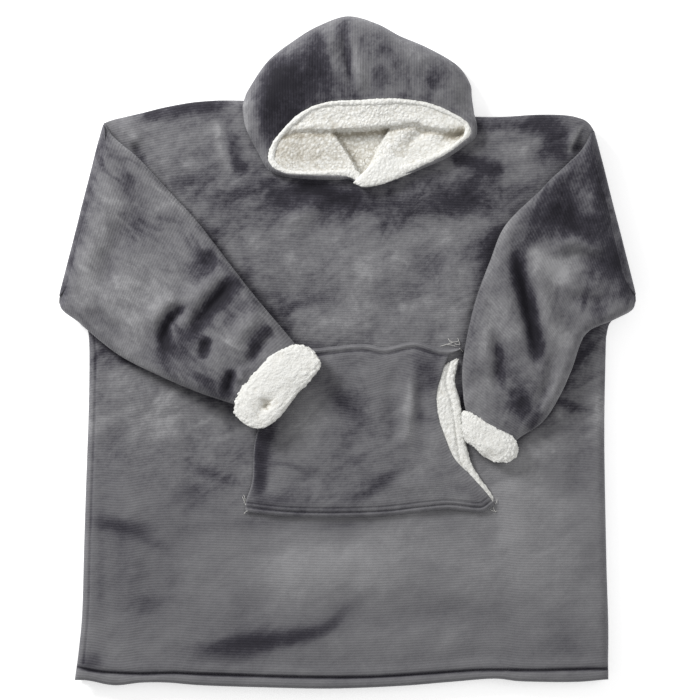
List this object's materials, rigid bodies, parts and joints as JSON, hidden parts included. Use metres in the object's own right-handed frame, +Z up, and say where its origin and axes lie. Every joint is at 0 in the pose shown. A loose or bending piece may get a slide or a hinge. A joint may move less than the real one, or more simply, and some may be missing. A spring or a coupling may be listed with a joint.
{
  "type": "hooded wearable blanket",
  "caption": "Oversized pullover blanket with a hood, laid flat: plush outside, sherpa lining and cuffs, a front pouch pocket, and both sleeves folded over the front.",
  "frame": {"origin": "on the surface the garment lies on, under the middle of its outline", "axes": "+X to the viewer's right across the front, +Y from the hem toward the hood, +Z up away from the surface"},
  "size_m": [0.8655, 1.0146, 0.0757],
  "materials": {
    "plush": "brushed plush pile with a soft sheen",
    "sherpa": "curly matte sherpa pile",
    "thread": "matte sewing thread"
  },
  "bodies": {
    "torso": {"back_outer": "plush", "back_lining": "sherpa", "front_lining": "sherpa", "front_outer": "plush", "side_seam_right": "plush", "side_seam_left": "plush", "shoulder_seam_right": "plush", "shoulder_seam_left": "plush", "armhole_seam_left": "plush", "armhole_seam_right": "plush", "neck_seam": "plush", "hem_stitch": "thread", "pocket_outer": "plush", "pocket_lining": "sherpa", "pocket_top_stitch": "thread", "pocket_bottom_stitch": "thread", "pocket_tack_top_left": "thread", "pocket_tack_top_right": "thread", "pocket_tack_bottom_left": "thread", "pocket_tack_bottom_right": "thread"},
    "left_sleeve": {"left_sleeve_outer": "plush", "left_sleeve_lining": "sherpa", "left_cuff": "sherpa"},
    "right_sleeve": {"right_sleeve_outer": "plush", "right_sleeve_lining": "sherpa", "right_cuff": "sherpa"},
    "hood": {"hood_outer_left": "plush", "hood_outer_right": "plush", "hood_lining_left": "sherpa", "hood_lining_right": "sherpa", "hood_rim": "sherpa", "hood_center_seam": "plush"}
  },
  "joints": [
    {"name": "left_sleeve_fold", "type": "hinge", "parent": "torso", "child": "left_sleeve", "pos_m": [-0.367, 0.343, 0.02775], "axis": [-0.2469, -0.969, 0], "range_deg": [0, 176]},
    {"name": "right_sleeve_fold", "type": "hinge", "parent": "torso", "child": "right_sleeve", "pos_m": [0.434, 0.082, 0.02775], "axis": [-0.2462, 0.9692, 0], "range_deg": [0, 178]},
    {"name": "hood_lift", "type": "hinge", "parent": "torso", "child": "hood", "pos_m": [0.026, 0.2445, 0.02775], "axis": [1, 0, 0], "range_deg": [0, 80]}
  ]
}
